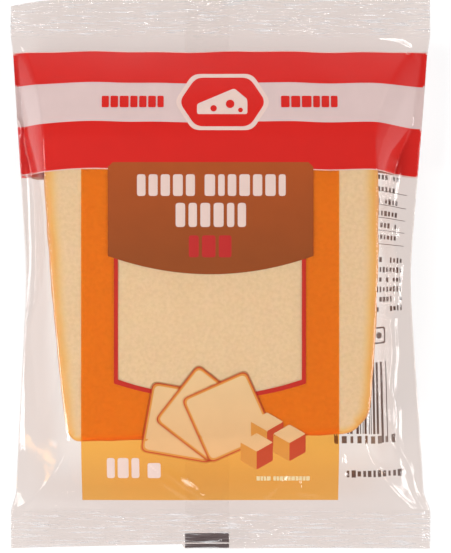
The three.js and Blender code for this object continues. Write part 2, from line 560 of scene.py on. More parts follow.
def seal_crackle(x, y):
    """The jaws leave the seal a little puckered along its ribs."""
    long_ruck = noise.noise(Vector((x / 9, y / 1.9, 9)))
    spot = noise.noise(Vector((x / 2.2, y / 1.5, 5)))
    return SEAL_RUCK * long_ruck + SEAL_SPOT * spot


def web_plan(w, v):
    """How far across the tube a point of the flat web lies, and where that is in plan."""
    u = w if w <= FLAT_HALF else 2 * FLAT_HALF - w
    return u, web_x(u, v), v - web_droop(u, v)


def web_place(w, v):
    """Where a point of the flat web lies on the tube: w goes round it, and v along it."""
    front = w <= FLAT_HALF
    u, x, y = web_plan(w, v)
    from_fold = FLAT_HALF - abs(u)
    past = past_block(x, y)
    full = fullness(x, y, past)
    end = 1 if y > 0 else -1
    into_seal = clamp((abs(v) - SEAL_ROOT) / SEAL_DEPTH)
    wave = SEAL_WAVE * math.sin(2 * math.pi * x / SEAL_WAVE_LENGTH + SEAL_WAVE_PHASE[end])
    middle = lerp(MIDDLE_LEVEL, SEAL_LEVEL, past**2) - SEAL_DROOP * into_seal + wave * past**3
    middle += seal_crackle(x, v) * smooth((abs(v) - SEAL_ROOT + 1.5) / 2)
    apart = SHEETS_APART * clamp(from_fold / FOLD_ROUND)
    parted = ruffle(x, y, past, full, front) * smooth(full * FULL_SPREAD)
    parted *= clamp(from_fold / FOLD_CALM)
    if front:
        level = lerp(middle + apart, FILM_TOP, full) + parted + welt(x, y)
        level += crease_lift(x, y) * smooth((SEAL_ROOT + 1 - abs(v)) / 2)
        level = min(level, pack_high.z - HEADROOM)
    else:
        level = max(lerp(middle - apart, FILM_BED, full) + parted * (1 - full), FILM_BED)
    if end > 0:
        corner = clamp((SHORT_CORNER_REACH - FLAT_HALF - x) / SHORT_CORNER_REACH)
        y -= SHORT_CORNER_DEPTH * corner**2 * into_seal
    else:
        y += CUT_RISE * into_seal * clamp((x + FLAT_HALF) / (CUT_STEP + FLAT_HALF)) * (x < CUT_STEP)
    return x, y, level


def looseness(w, v):
    """0 where the film lies on the cheese, 1 where it stands well clear of it."""
    _, x, y = web_plan(w, v)
    return 1 - smooth(fullness(x, y, past_block(x, y)) * FULL_SPREAD - (FULL_SPREAD - 1))


def stepped(zones, end):
    """Places from the first zone's start to the end, each zone being its start and its step."""
    places = []
    stops = [start for start, _ in zones[1:]] + [end]
    for (start, step), stop in zip(zones, stops):
        count = max(1, round(abs(stop - start) / step))
        places += [lerp(start, stop, k / count) for k in range(count)]
    return places + [end]


RIB_ROWS = 4  # the mesh's rows to a rib of the seals
rib_step = RIB_PITCH / RIB_ROWS
film_columns = stepped(
    [
        (-FLAT_HALF, 0.42), (-45.5, 1.25), (-20.5, 0.62), (-4.5, 1.2),
        (12, 0.62), (24.2, 1.2), (33.5, 0.7), (43.5, 0.42),
    ],
    FLAT_HALF,
)
film_rows = stepped(
    [(-HALF_LENGTH, rib_step), (-SEAL_ROOT, 0.6), (-46, 0.95), (39, 0.8), (SEAL_ROOT, rib_step)],
    HALF_LENGTH,
)
web_columns = film_columns + [2 * FLAT_HALF - u for u in reversed(film_columns)][1:]
WEB_SPAN = 250.0  # the web's unwrapped map is this many millimetres to the unit
OFF_THE_WEB = (2.0, 2.0)  # where the map has the cut ends, which carry no print


def square(left, bottom, right, top):
    return [(left, bottom), (right, bottom), (right, top), (left, top)]


def web_map(w, v):
    return (w + FLAT_HALF) / WEB_SPAN, (v + HALF_LENGTH) / WEB_SPAN


def crimp_depth(w, v):
    """The jaws bite unevenly along a seal."""
    return 0.65 + 0.5 * noise.noise(Vector((w / 9, v / 5, 2)))


def film_mesh():
    round_columns = web_columns[:-1]
    count = len(round_columns)
    rings = [list(range(row * count, (row + 1) * count)) for row in range(len(film_rows))]
    points = [Vector(web_place(w, v)) * MM for v in film_rows for w in round_columns]
    along = [abs(v) * MM for v in film_rows for _ in round_columns]
    depths = [crimp_depth(w, v) for v in film_rows for w in round_columns]
    faces, maps = join_rings(rings), []
    for low, high in zip(film_rows, film_rows[1:]):
        for left, right in zip(web_columns, web_columns[1:]):
            maps += [web_map(w, v) for w, v in square(left, low, right, high)]
    # The cut ends, front sheet to back sheet
    last = len(film_columns) - 1
    for ring, way in ((rings[0], 1), (rings[-1], -1)):
        for column in range(last):
            behind, behind_next = (count - column) % count, (count - column - 1) % count
            corners = dict.fromkeys([column, behind, behind_next, column + 1])
            faces.append([ring[corner] for corner in corners][::way])
            maps += [OFF_THE_WEB] * len(corners)
    mesh = bpy.data.meshes.new("film")
    mesh.from_pydata(points, [], faces)
    flat_map = mesh.uv_layers.new(name="web").uv
    flat_map.foreach_set("vector", [part for pair in maps for part in pair])
    loose = [looseness(w, v) for v in film_rows for w in round_columns]
    # How loose the back sheet is, the mask for its painted shade: a darker tint where it stands
    # clear of the cheese.
    behind = [share * (k % count > last) for k, share in enumerate(loose)]
    sealed = [smooth((abs(v) - SEAL_ROOT + 1) / 2) for v in film_rows for _ in round_columns]
    for name, values in (
        ("along", along), ("crimp_depth", depths), ("loose", loose),
        ("loose_behind", behind), ("sealed", sealed),
    ):
        mesh.attributes.new(name, "FLOAT", "POINT").data.foreach_set("value", values)
    mesh.shade_smooth()
    return mesh


def start_tree(name, inputs):
    """A geometry tree with a geometry and named inputs, given as their kinds' names.

    It gives the tree, the sockets inside it, and each input's identifier by its name.
    """
    tree = bpy.data.node_groups.new(name, "GeometryNodeTree")
    named = {}
    for title, kind in {"Geometry": "Geometry", **inputs}.items():
        kind = "NodeSocket" + kind
        socket = tree.interface.new_socket(title, in_out="INPUT", socket_type=kind)
        named[title] = socket.identifier
    tree.interface.new_socket("Geometry", in_out="OUTPUT", socket_type="NodeSocketGeometry")
    return tree, node(tree, "NodeGroupInput").outputs, named


def finish_tree(tree, geometry, material):
    whole = node(tree, "GeometryNodeRealizeInstances", {"Geometry": geometry})
    coated = node(tree, "GeometryNodeSetMaterial", {"Geometry": whole, "Material": material})
    node(tree, "NodeGroupOutput", {0: coated})


def crimp_tree():
    """Presses ribs across both sheets beyond the root of each seal."""
    inputs = {"Pitch": "Float", "Height": "Float", "Root": "Float", "Film": "Material"}
    tree, given, named = start_tree("crimp_seals", inputs)
    along = node(tree, "GeometryNodeInputNamedAttribute", {"Name": "along"})
    depth = node(tree, "GeometryNodeInputNamedAttribute", {"Name": "crimp_depth"})
    into = maths(tree, "SUBTRACT", along, given["Root"])
    turn = maths(tree, "MULTIPLY", maths(tree, "DIVIDE", into, given["Pitch"]), 2 * math.pi)
    swing = maths(tree, "SUBTRACT", 1.0, maths(tree, "COSINE", turn))
    half = maths(tree, "MULTIPLY", given["Height"], 0.5)
    lift = maths(tree, "MULTIPLY", maths(tree, "MULTIPLY", swing, half), depth)
    move = {
        "Geometry": given["Geometry"],
        "Selection": maths(tree, "GREATER_THAN", into, 0.0),
        "Offset": node(tree, "ShaderNodeCombineXYZ", {"Z": lift}),
    }
    finish_tree(tree, node(tree, "GeometryNodeSetPosition", move), given["Film"])
    return tree, named


def add_tree(thing, made, values):
    """Puts a geometry tree on an object and sets its named inputs."""
    tree, named = made
    modifier = thing.modifiers.new(tree.name, "NODES")
    modifier.node_group = tree
    for title, value in values.items():
        modifier[named[title]] = value


def settle(thing):
    """Makes what an object's trees give its own plain mesh."""
    graph = bpy.context.evaluated_depsgraph_get()
    graph.update()
    mesh = bpy.data.meshes.new_from_object(thing.evaluated_get(graph))
    mesh.name = thing.name
    thing.modifiers.clear()
    thing.data = mesh
    return thing


def film_material(name, clear_tone, shaded_loose_tone, mirror=0.036, dullness=0.008):
    """Clear film, crackled where the jaws have crimped it and dulled there by streaks of white haze
    that are painted glints, with a slight crinkle.
    """
    material, tree = start_material(name)
    place = node(tree, "ShaderNodeTexCoord").outputs["Object"]
    loose, behind, sealed = (
        node(tree, "ShaderNodeAttribute", attribute_name=name).outputs["Fac"]
        for name in ("loose", "loose_behind", "sealed")
    )
    crinkle = patterned(tree, place, 3.0, stretch=(420, 420, 420))
    rucks = patterned(tree, place, 2.0, stretch=(90, 900, 90))
    sparks = patterned(tree, place, 1.0, stretch=(420, 1500, 420))
    patch = mapped(tree, patterned(tree, place, 2.0, stretch=(60, 150, 60)), 0.45, 0.62)
    spots = maths(tree, "MULTIPLY", sparks, maths(tree, "MULTIPLY", patch, 1.6))
    crackle = maths(tree, "MULTIPLY_ADD", rucks, 0.8, spots)
    pressed = maths(tree, "MULTIPLY", crackle, sealed)
    slack = maths(tree, "MULTIPLY_ADD", loose, 0.02, 0.05)
    height = maths(tree, "ADD", maths(tree, "MULTIPLY", crinkle, slack), pressed)
    surface = bump(tree, height, 1.0, 0.0005)

    facing = node(tree, "ShaderNodeLayerWeight", {"Blend": 0.5, "Normal": surface})
    steep = maths(tree, "POWER", facing.outputs["Facing"], 5.0)
    mirrored = maths(tree, "MULTIPLY_ADD", steep, 0.7, mirror)
    # Painted shade: where the back sheet stands clear of the cheese, its tint is darker and warmer
    # than the film's own, for the shade on the floor beneath the pack.
    tone = blend_colours(tree, behind, clear_tone, shaded_loose_tone)
    clear = node(tree, "ShaderNodeBsdfTransparent", {"Color": tone})
    dull = {"Color": (0.88, 0.86, 0.86, 1), "Normal": surface}
    haze = node(tree, "ShaderNodeBsdfDiffuse", dull)
    # Painted glints: thresholded streaks of white diffuse haze along the crimped seals stand in for
    # the glints off their ribs, over the film's slight haze everywhere.
    painted_glint_pattern = patterned(tree, place, 2.0, stretch=(120, 1500, 120))
    painted_glint_streak = mapped(tree, painted_glint_pattern, 0.52, 0.72, 0.6)
    haze_and_painted_glints = maths(tree, "MULTIPLY_ADD", painted_glint_streak, sealed, dullness)
    body = node(tree, "ShaderNodeMixShader", {0: haze_and_painted_glints, 1: clear, 2: haze})
    shine = {"Color": (1, 1, 1, 1), "Roughness": 0.09, "Normal": surface}
    gloss = node(tree, "ShaderNodeBsdfGlossy", shine)
    shader = node(tree, "ShaderNodeMixShader", {0: mirrored, 1: body, 2: gloss})
    finish_material(tree, shader)
    return material


film = place_in_scene("film_tube", film_mesh())
# The second tone is painted shade, the darker tint of the back sheet where it stands clear of the
# cheese.
film_finish = film_material("clear_film", (0.94, 0.918, 0.905, 1), (0.835, 0.765, 0.735, 1))
crimp = {
    "Pitch": RIB_PITCH * MM,
    "Height": RIB_HEIGHT * MM,
    "Root": SEAL_ROOT * MM,
    "Film": film_finish,
}
add_tree(film, crimp_tree(), crimp)
fit(settle(film))


# ============================================================
# The red bands
# Two bands of opaque red printed on the inner face of the film, right round the tube across the
# upper part of the pack, each on a slightly wider ground of white ink that shows as a pale edge.
# ============================================================

INK_THICKNESS = 0.012
INK_STEP = 0.022  # from one layer of ink to the next below it
UPPER_BAND = (55.7, 64.9)
LOWER_BAND = (30.5, 44.2)
BAND_EDGE = 0.28
BAND_LAP = 0.4  # how far each paler field runs under the red
BAND_WAVES = ((0.16, 7.5, 0), (0.1, 3.1, 1))  # the height, span and phase of an edge's waves
BACK_BAND_DROP = 1.6  # the back sheet's band ends this much lower
BACK_DROP_FROM = 125  # across the web
BACK_DROP_OVER = 20  # it drops over this width
BACK_RISE_OVER = 6  # up to the web's other edge
BACKING = (140, 184.3)  # where round the web a paler ground shows through from behind the red
BACKING_FOOT = (-1.4, -1.2)  # its lower corners, from the band's lower edge
BACKING_TOP = 43.0
WELD = 2e-6  # points nearer than this are one
FLAT_TURN = math.radians(50)  # a sharper turn than this is an edge


def printing_tree():
    """Lays a flat shape, drawn in the web's own millimetres, under the film as a coat of ink."""
    inputs = {
        "Film": "Object", "Web corner": "Vector", "Web span": "Float",
        "Depth": "Float", "Thickness": "Float", "Ink": "Material",
    }
    tree, given, named = start_tree("print_on_film", inputs)
    sheet = node(tree, "GeometryNodeObjectInfo", {"Object": given["Film"]}).outputs["Geometry"]

    def vectors(operation, inputs):
        return node(tree, "ShaderNodeVectorMath", inputs, operation=operation)

    def weld(geometry):
        near = {"Geometry": geometry, "Distance": WELD}
        return node(tree, "GeometryNodeMergeByDistance", near)

    own = node(tree, "GeometryNodeInputPosition")
    moved = vectors("ADD", {0: own, 1: given["Web corner"]})
    flat = vectors("SCALE", {0: moved, "Scale": maths(tree, "DIVIDE", 1.0, given["Web span"])})
    web = node(tree, "GeometryNodeInputNamedAttribute", {"Name": "web"}, data_type="FLOAT_VECTOR")

    def on_film(field):
        inputs = {"Mesh": sheet, "Value": field, "Source UV Map": web, "Sample UV": flat}
        return node(tree, "GeometryNodeSampleUVSurface", inputs, data_type="FLOAT_VECTOR")

    place = on_film(node(tree, "GeometryNodeInputPosition"))
    outward = on_film(node(tree, "GeometryNodeInputNormal"))
    depth = maths(tree, "MULTIPLY", given["Depth"], -1.0)
    laid = vectors("ADD", {0: place, 1: vectors("SCALE", {0: outward, "Scale": depth})})
    lie = {"Geometry": given["Geometry"], "Position": laid}
    welded = weld(node(tree, "GeometryNodeSetPosition", lie))
    thin = maths(tree, "MULTIPLY", given["Thickness"], -1.0)
    coat = {"Mesh": welded, "Offset Scale": thin, "Individual": False}
    under = node(tree, "GeometryNodeExtrudeMesh", coat)
    both = node(tree, "GeometryNodeJoinGeometry")
    for part in (welded, node(tree, "GeometryNodeFlipFaces", {"Mesh": under})):
        plug(tree, part, both.inputs[0])
    finish_tree(tree, weld(both), given["Ink"])
    return tree, named


print_on_film = printing_tree()


def inside_outlines(points, outlines):
    """Which points lie inside the outlines, counting an outline within another as a hole."""
    within = np.zeros(len(points), bool)
    for outline in outlines:
        starts = np.array(outline)
        ends = np.roll(starts, -1, axis=0)
        for (ax, ay), (bx, by) in zip(starts, ends):
            if ay == by:
                continue
            crosses = (points[:, 1] < ay) != (points[:, 1] < by)
            reach = ax + (points[:, 1] - ay) * (bx - ax) / (by - ay)
            within ^= crosses & (points[:, 0] < reach)
    return within


all_columns, all_rows = np.array(web_columns), np.array(film_rows)
EDGE_ROOM = 0.16  # grid points nearer to an edge than this would only make slivers
AT_ONCE = 400  # points measured at a time, to spare memory


def flat_shape(name, outlines, step):
    """A flat mesh inside outlines, with the film's own grid points so that it lies close to it."""
    fine = []
    for outline in outlines:
        loop = []
        for (ax, ay), (bx, by) in zip(outline, outline[1:] + outline[:1]):
            count = max(1, math.ceil(math.hypot(bx - ax, by - ay) / step))
            loop += [(lerp(ax, bx, k / count), lerp(ay, by, k / count)) for k in range(count)]
        fine.append(loop)
    edge_points = np.array([point for loop in fine for point in loop])
    low, high = edge_points.min(0), edge_points.max(0)
    columns = all_columns[(all_columns > low[0]) & (all_columns < high[0])]
    rows = all_rows[(all_rows > low[1]) & (all_rows < high[1])]
    grid = np.array([(w, v) for w in columns for v in rows]).reshape(-1, 2)
    if len(grid):
        grid = grid[inside_outlines(grid, fine)]
    if len(grid):
        keep = np.ones(len(grid), bool)
        for start in range(0, len(edge_points), AT_ONCE):
            gaps = grid[:, None, :] - edge_points[None, start : start + AT_ONCE, :]
            keep &= (np.abs(gaps).max(2) > EDGE_ROOM).all(1)
        grid = grid[keep]
    edges, first = [], 0
    for loop in fine:
        count = len(loop)
        edges += [(first + k, first + (k + 1) % count) for k in range(count)]
        first += count
    points = [Vector(point) for point in edge_points.tolist() + grid.tolist()]
    made, _, faces, _, _, _ = delaunay_2d_cdt(points, edges, [], 0, 1e-5, False)
    centres = np.array([sum((made[k] for k in face), Vector((0, 0))) / 3 for face in faces])
    kept = [face for face, holds in zip(faces, inside_outlines(centres, fine)) if holds]
    used = sorted({corner for face in kept for corner in face})
    order = {corner: index for index, corner in enumerate(used)}
    mesh = bpy.data.meshes.new(name)
    corners = [(*made[corner], 0) for corner in used]
    mesh.from_pydata(corners, [], [[order[corner] for corner in face] for face in kept])
    mesh.shade_smooth()
    return mesh


def lay_print(piece, ink, layer):
    values = {
        "Film": film,
        "Web corner": (FLAT_HALF, HALF_LENGTH, 0.0),
        "Web span": WEB_SPAN,
        "Depth": INK_STEP * layer * MM,
        "Thickness": INK_THICKNESS * MM,
        "Ink": ink,
    }
    add_tree(piece, print_on_film, values)
    settle(piece)
    piece.data.set_sharp_from_angle(angle=FLAT_TURN)
    fit(piece)


def print_shape(name, outlines, ink, layer, step=0.8):
    """Prints outlines on the film in the given ink, layer 1 being the first coat under it."""
    lay_print(place_in_scene(name, flat_shape(name, outlines, step)), ink, layer)


def ink_material(name, tone, cover=1.0, tint=(1, 1, 1, 1), mottle=0.06, fade=None):
    """Printing ink: cover is the share that is solid colour, and the rest tints what is behind.

    It fades down the pack from its tone to another between the two levels given.
    """
    material, tree = start_material(name)
    place = node(tree, "ShaderNodeTexCoord").outputs["Object"]
    cloud = patterned(tree, place, 4.0, 160.0)
    if fade is not None:
        low_level, high_level, lower_tone = fade
        up = node(tree, "ShaderNodeSeparateXYZ", {"Vector": place}).outputs["Y"]
        share = mapped(tree, up, low_level * MM, high_level * MM)
        tone = blend_colours(tree, share, lower_tone, tone)
    low = blend_colours(tree, 1.0, tone, (*[1 - 2 * mottle] * 3, 1), "MULTIPLY")
    look = {
        "Base Color": blend_colours(tree, cloud, low, tone),
        "Roughness": 0.5,
        "Specular IOR Level": 0.2,
        "Normal": bump(tree, patterned(tree, place, 1.0, 2400.0), 0.06, 0.0001),
    }
    shader = node(tree, "ShaderNodeBsdfPrincipled", look)
    if cover < 1:
        clear = node(tree, "ShaderNodeBsdfTransparent", {"Color": tint})
        shader = node(tree, "ShaderNodeMixShader", {0: cover, 1: clear, 2: shader})
    finish_material(tree, shader)
    return material


red_ink = ink_material("red_ink", colour(230, 28, 15), mottle=0.04)
white_ink = ink_material("white_ink", colour(247, 222, 212), mottle=0.03)
edge_ink = ink_material("edge_ink", colour(246, 206, 198), mottle=0.03)
pale_ink = ink_material("pale_ink", colour(250, 226, 223), cover=0.85, mottle=0.05)


def round_the_tube(low, high, steps=240):
    """The outline of a band right round the web, a little wavy where the film has moved."""

    def edge(w, level):
        behind = smooth((w - BACK_DROP_FROM) / BACK_DROP_OVER)
        behind *= smooth((GIRTH - FLAT_HALF - w) / BACK_RISE_OVER)
        wave = sum(height * math.sin(w / span + phase) for height, span, phase in BAND_WAVES)
        return level + wave - BACK_BAND_DROP * behind

    places = [lerp(-FLAT_HALF, GIRTH - FLAT_HALF, step / steps) for step in range(steps + 1)]
    return [(w, edge(w, low)) for w in places] + [(w, edge(w, high)) for w in reversed(places)]


for name, (low, high) in (("upper_red_band", UPPER_BAND), ("lower_red_band", LOWER_BAND)):
    print_shape(name, [round_the_tube(low, high)], red_ink, 3)
top_edge = round_the_tube(UPPER_BAND[1] - BAND_LAP, UPPER_BAND[1] + BAND_EDGE)
bottom_edge = round_the_tube(LOWER_BAND[0] - BAND_EDGE, LOWER_BAND[0] + BAND_LAP)
for name, edge in (("upper_band_edge", top_edge), ("lower_band_edge", bottom_edge)):
    print_shape(name, [edge], edge_ink, 4)
backing_ink = ink_material("backing_ink", colour(250, 128, 122), mottle=0.05)
backing = [(w, LOWER_BAND[0] + foot) for w, foot in zip(BACKING, BACKING_FOOT)]
backing += [(w, BACKING_TOP) for w in reversed(BACKING)]
print_shape("band_backing", [backing], backing_ink, 4)
pale_field = round_the_tube(LOWER_BAND[1] - BAND_LAP, UPPER_BAND[0] + BAND_LAP)
print_shape("pale_band", [pale_field], pale_ink, 5)


# ============================================================
# The badge on the bands
# A plain lozenge of red ink on a white ground, half way up the pale band, with the figure of a
# wedge of cheese left in white, and a short row of red marks on each side of it.
# ============================================================

BADGE_MIDDLE = (0.6, 50.0)
BADGE_HALF = (12.6, 7.2)
BADGE_EDGE = 1.1
BADGE_BLUNT = 0.62  # its upper and lower sides are this share of its width
BADGE_CORNER = 2.2  # its corners are rounded from this far off
WORD_GAP = 0.14  # between marks, as a share of their height
WORD_CORNER = 0.12


def rounded(corners, reach, steps=6):
    """An outline with each corner eased by a curve that starts this far from it."""
    outline = []
    count = len(corners)
    for index, corner in enumerate(corners):
        here = Vector(corner)
        to_last = Vector(corners[index - 1]) - here
        to_next = Vector(corners[(index + 1) % count]) - here
        start = here + to_last.normalized() * min(reach, to_last.length / 2.05)
        end = here + to_next.normalized() * min(reach, to_next.length / 2.05)
        for step in range(steps + 1):
            share = step / steps
            point = start.lerp(here, share).lerp(here.lerp(end, share), share)
            outline.append((point.x, point.y))
    return outline


def lozenge(middle, half):
    """A six-sided field with its corners rounded off."""
    x, y = middle
    across, up = half
    level = across * BADGE_BLUNT
    corners = [
        (x - level, y - up), (x + level, y - up), (x + across, y),
        (x + level, y + up), (x - level, y + up), (x - across, y),
    ]
    return rounded(corners, BADGE_CORNER)


def disc(x, y, radius, steps=20):
    turns = [2 * math.pi * step / steps for step in range(steps)]
    return [(x + radius * math.cos(turn), y + radius * math.sin(turn)) for turn in turns]


def box(left, bottom, right, top, reach):
    return rounded(square(left, bottom, right, top), reach, 3)


def word_marks(draw, *rows):
    """Plain upright marks of uneven widths, where words would be.

    Each row has its left, its right, its bottom, its top and the number of its marks.
    """
    outlines = []
    for x, right, bottom, top, count in rows:
        tall = top - bottom
        widths = [draw.uniform(0.75, 1.25) for _ in range(count)]
        scale = (right - x - WORD_GAP * tall * (count - 1)) / sum(widths)
        for width in widths:
            outlines.append(box(x, bottom, x + width * scale, top, WORD_CORNER * tall))
            x += width * scale + WORD_GAP * tall
    return outlines


WEDGE = [(-7.4, -3.6), (7.2, -3.6), (7.2, 0.8), (3.4, 4.0), (-7.4, -0.6)]
WEDGE_HOLES = ((-2.6, -1.9, 0.95), (2.2, -0.6, 1.25), (5.2, -2.4, 0.7))
badge_figure = [
    [(x + BADGE_MIDDLE[0], y + BADGE_MIDDLE[1]) for x, y in outline]
    for outline in [rounded(WEDGE, 0.7, 4), *[disc(*hole) for hole in WEDGE_HOLES]]
]
grown_half = (BADGE_HALF[0] + BADGE_EDGE * 1.3, BADGE_HALF[1] + BADGE_EDGE)
side_marks = word_marks(
    random.Random(11), (-34.5, -16.5, 48.4, 51.8, 7), (17.6, 34.0, 48.4, 51.8, 6)
)
print_shape("badge_figure", badge_figure, white_ink, 1)
print_shape("badge", [lozenge(BADGE_MIDDLE, BADGE_HALF)], red_ink, 1.6)
print_shape("badge_ground", [lozenge(BADGE_MIDDLE, grown_half)], white_ink, 2.2)
print_shape("band_marks", side_marks, red_ink, 1)


# ============================================================
# The label on the front
# A field of see-through orange with a window left clear of ink, a red line round the window, and
# an opaque brown panel across its top. All are printed on the film's inner face.
# ============================================================

LABEL = (-40.4, -66.2, 34.4, 30.4)  # its left, bottom, right and top
PANEL = {"left": -32.6, "right": 26.9, "bottom": 5.2, "top": 32.4, "sag": 5.3, "cut": 1.4}
WINDOW = {"left": -29.7, "right": 23.6, "bottom": -30.6, "top": 14.0, "sag": 4.6}
WINDOW_LINE = 1.15

orange_ink = ink_material(
    "orange_ink", colour(246, 150, 40), cover=0.03, tint=(1.0, 0.745, 0.335, 1), mottle=0.05
)
brown_ink = ink_material(
    "brown_ink", colour(188, 87, 24), mottle=0.06, fade=(5.0, 31.0, colour(162, 79, 21))
)
line_ink = ink_material("window_line_ink", colour(212, 44, 28))


def sagging_line(left, right, level, sag, steps=40):
    """A line from left to right that dips in a shallow arc."""
    middle, half = (left + right) / 2, (right - left) / 2
    places = [lerp(left, right, step / steps) for step in range(steps + 1)]
    return [(x, level - sag * (1 - ((x - middle) / half) ** 2)) for x in places]


def window_outline(grown):
    left, right = WINDOW["left"] - grown, WINDOW["right"] + grown
    foot = sagging_line(left, right, WINDOW["bottom"] - grown, WINDOW["sag"])
    return foot + [(right, WINDOW["top"]), (left, WINDOW["top"])]


panel_field = sagging_line(PANEL["left"], PANEL["right"], PANEL["bottom"], PANEL["sag"]) + [
    (PANEL["right"], PANEL["top"] - PANEL["cut"]),
    (PANEL["right"] - PANEL["cut"], PANEL["top"]),
    (PANEL["left"] + PANEL["cut"], PANEL["top"]),
    (PANEL["left"], PANEL["top"] - PANEL["cut"]),
]
print_shape("orange_label", [square(*LABEL), window_outline(0)], orange_ink, 7)
print_shape("window_line", [window_outline(WINDOW_LINE), window_outline(0)], line_ink, 6)
print_shape("brown_panel", [panel_field], brown_ink, 2)


# ============================================================
# The marks on the label
# Where a label has its words there are rows of plain marks in white, cream and red ink: three
# rows on the brown panel, one at the lower left and a fine one at the lower right.
# ============================================================

cream_ink = ink_material("cream_ink", colour(247, 224, 172), mottle=0.04)
deep_red_ink = ink_material("deep_red_ink", colour(206, 44, 40), mottle=0.05)

draw = random.Random(5)
title_marks = word_marks(
    draw, (-24.2, -7.4, 22.6, 28.9, 5), (-4.6, 18.9, 22.6, 28.9, 7), (-13.0, 7.4, 13.6, 20.6, 6)
)
print_shape("title_marks", title_marks, white_ink, 1)
print_shape("red_marks", word_marks(draw, (-9.2, 3.2, 4.8, 11.2, 3)), deep_red_ink, 1)
lower_marks = word_marks(draw, (-33.0, -23.6, -59.4, -53.4, 3))
lower_marks.append(box(-21.2, -59.4, -17.4, -54.9, 0.7))
print_shape("lower_marks", lower_marks, white_ink, 1)
fine_marks = word_marks(draw, (10.5, 14.6, -60.2, -58.9, 4), (15.4, 26.0, -60.2, -58.9, 10))
print_shape("fine_marks", fine_marks, cream_ink, 3, 0.5)


# ============================================================
# The picture on the label
# Three square slices of smoked cheese in a fan, with three cubes of it beside them. A slice is a
# pale field over a gold crust, an orange-red rim and a soft brown shade, each a coat of ink.
# ============================================================

SLICE_SIDE = 20.5
FAN_PIVOT = (-3.0, -55.0)
FAN_TURNS = (80, 52, 24)  # degrees, the lowest slice first
slice_ink = ink_material(
    "slice_ink", colour(250, 214, 160), mottle=0.05, fade=(-54.0, -26.0, colour(247, 196, 138))
)
rim_ink = ink_material("rim_ink", colour(214, 76, 34), mottle=0.08)
gold_ink = ink_material("gold_ink", colour(240, 160, 66), mottle=0.08)
shade_ink = ink_material("shade_ink", colour(150, 70, 30), cover=0.05, tint=(0.97, 0.9, 0.82, 1))
SLICE_COATS = {  # how far in each coat starts, the reach of its corners, its ink and its layer
    "shade": (-0.35, 2.2, shade_ink, 0.0),
    "rim": (0.0, 2.0, rim_ink, -0.35),
    "crust": (0.32, 1.8, gold_ink, -0.6),
    "face": (0.85, 1.5, slice_ink, -0.85),
}
LOWEST_SLICE = 5.2  # its layer
SLICE_STEP = 1.25  # from one slice to the next above it
CUBE_PLACES = ((13.5, -45.5), (20.0, -49.0), (10.5, -51.5))
CUBE_SIDE = 5.4
CUBE_LAYER = 1.4
CUBE_STEP = 0.35


def turned(corners, pivot, degrees):
    """Corners turned about the origin and moved to a pivot."""
    cosine, sine = math.cos(math.radians(degrees)), math.sin(math.radians(degrees))
    spun = [(x * cosine - y * sine, x * sine + y * cosine) for x, y in corners]
    return [(pivot[0] + x, pivot[1] + y) for x, y in spun]


layer = LOWEST_SLICE
for count, turn in enumerate(FAN_TURNS):
    for part, (inset, reach, ink, step) in SLICE_COATS.items():
        field = square(inset, inset, SLICE_SIDE - inset, SLICE_SIDE - inset)
        outline = rounded(turned(field, FAN_PIVOT, turn), reach)
        print_shape(f"slice_{count + 1}_{part}", [outline], ink, layer + step)
    layer -= SLICE_STEP


def cube_faces(x, y, side):
    """The top and the two near sides of a cube seen from above one of its corners."""
    across, up = 0.87 * side, 0.5 * side
    top = [(x, y), (x + across, y + up), (x, y + 2 * up), (x - across, y + up)]
    left = [(x, y - side), (x, y), (x - across, y + up), (x - across, y + up - side)]
    right = [(x, y - side), (x + across, y + up - side), (x + across, y + up), (x, y)]
    return {"top": (top, slice_ink), "left": (left, gold_ink), "right": (right, rim_ink)}


for count, (x, y) in enumerate(CUBE_PLACES):
    for part, (corners, ink) in cube_faces(x, y, CUBE_SIDE).items():
        layer = CUBE_LAYER - CUBE_STEP * count
        print_shape(f"cube_{count + 1}_{part}", [rounded(corners, 0.35, 3)], ink, layer)


# ============================================================
# The print on the back
# Rows of fine brown marks with thin rules between them, a block of upright bars with a row of marks
# under it, and a small frame. Through the film's right margin they show from the front.
# ============================================================

small_ink = ink_material("small_print_ink", colour(122, 104, 98), mottle=0.1)
digit_ink = ink_material("digit_ink", colour(150, 138, 134), mottle=0.1)
BACK_LAYER = 2
RULE_LEVELS = (24.9, 20.8, 17.0, 13.2, 9.1)
RULE_HALF = 0.09
BARS = (50.5, 33)  # from here to here across
BARS_TOP = -26.2
BARS_FOOT = -49.8
SHORT_BARS = (35, 48.5)  # the row of marks is under these
SHORT_BARS_FOOT = -47.2


